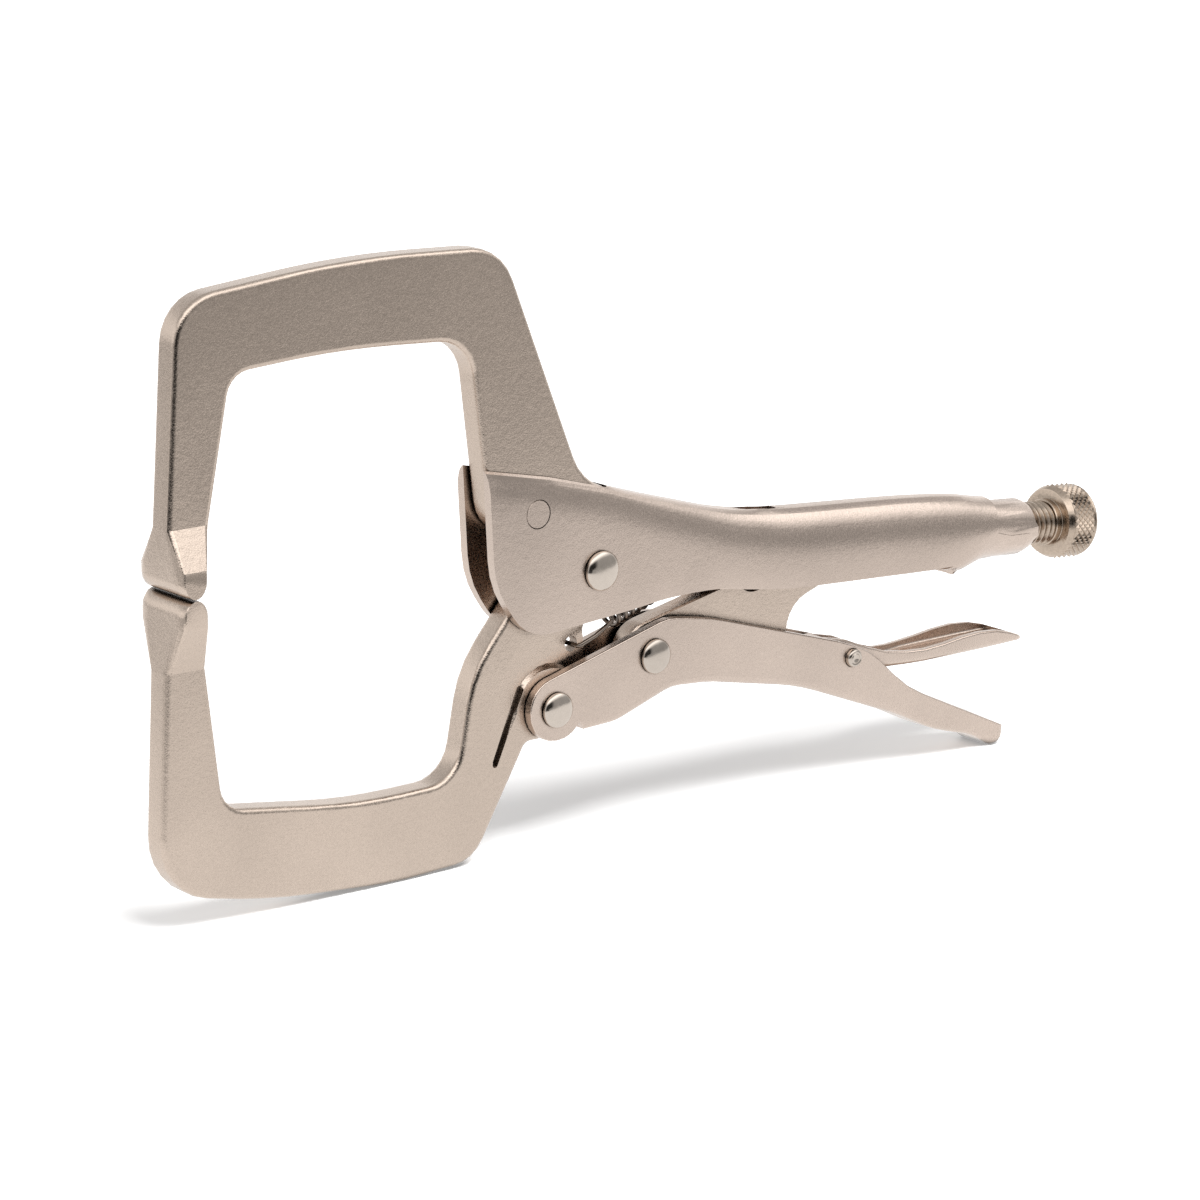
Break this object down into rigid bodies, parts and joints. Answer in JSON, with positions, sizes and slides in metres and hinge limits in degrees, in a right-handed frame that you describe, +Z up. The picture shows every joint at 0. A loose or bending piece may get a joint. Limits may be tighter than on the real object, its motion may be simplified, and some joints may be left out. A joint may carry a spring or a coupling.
{
  "type": "locking pliers",
  "caption": "C-clamp locking pliers with deep forged jaws, a toggle lever, a release lever and a knurled adjusting screw",
  "frame": {"origin": "On the floor under the middle of the box round the closed pliers.", "axes": "+X points from the jaws to the adjusting screw's knob, +Y is through the thickness, and +Z is up, from the moving jaw to the fixed jaw, as the pliers stand on the lower jaw and the lever's tail."},
  "size_m": [0.279, 0.019, 0.1443],
  "materials": {
    "forged_steel": "satin nickel plate over a finely blasted forging",
    "pressed_steel": "satin nickel plate on pressed sheet",
    "rivet_steel": "smooth bright nickel",
    "screw_steel": "turned and nickel plated",
    "spring_steel": "drawn wire, nickel plated"
  },
  "bodies": {
    "handle": {"fixed_handle": "pressed_steel", "fixed_jaw": "forged_steel", "fixed_jaw_pin": "pressed_steel", "jaw_pivot_rivet": "rivet_steel", "spring": "spring_steel"},
    "jaw": {"moving_jaw": "forged_steel"},
    "lever": {"moving_handle": "pressed_steel", "lever_rivet": "rivet_steel", "link_rivet": "rivet_steel", "release_pin": "rivet_steel"},
    "link": {"toggle_link": "forged_steel"},
    "release": {"release_lever": "pressed_steel"},
    "screw_travel": {"screw_nose": "screw_steel"},
    "screw": {"adjusting_screw": "screw_steel"}
  },
  "joints": [
    {"name": "jaw_pivot", "type": "hinge", "parent": "handle", "child": "jaw", "pos_m": [-0.01999, 0, 0.065], "axis": [0, -1, 0], "range_deg": [0, 24], "deforming": ["spring"]},
    {"name": "lever_pivot", "type": "hinge", "parent": "jaw", "child": "lever", "pos_m": [-0.03289, 0, 0.0338], "axis": [0, -1, 0], "range_deg": [-64, 0]},
    {"name": "link_pivot", "type": "hinge", "parent": "lever", "child": "link", "pos_m": [-0.00369, 0, 0.0418], "axis": [0, -1, 0], "range_deg": [0, 68]},
    {"name": "release_pivot", "type": "hinge", "parent": "lever", "child": "release", "pos_m": [0.05851, 0, 0.031], "axis": [0, 1, 0], "range_deg": [-4, 5]},
    {"name": "screw_slide", "type": "slide", "parent": "handle", "child": "screw_travel", "axis": [0.9963, 0, -0.0854], "range_m": [0, 0.025]},
    {"name": "screw_turn", "type": "hinge", "parent": "screw_travel", "child": "screw", "pos_m": [0.11271, 0, 0.05495], "axis": [0.9963, 0, -0.0854], "range_deg": [0, 5145]}
  ],
  "couplings": [
    {"joint": "lever_pivot", "follows": "jaw_pivot", "ratio": -2.65},
    {"joint": "link_pivot", "follows": "jaw_pivot", "ratio": 2.82},
    {"joint": "screw_turn", "follows": "screw_slide", "rad_per_m": 3590.4}
  ]
}
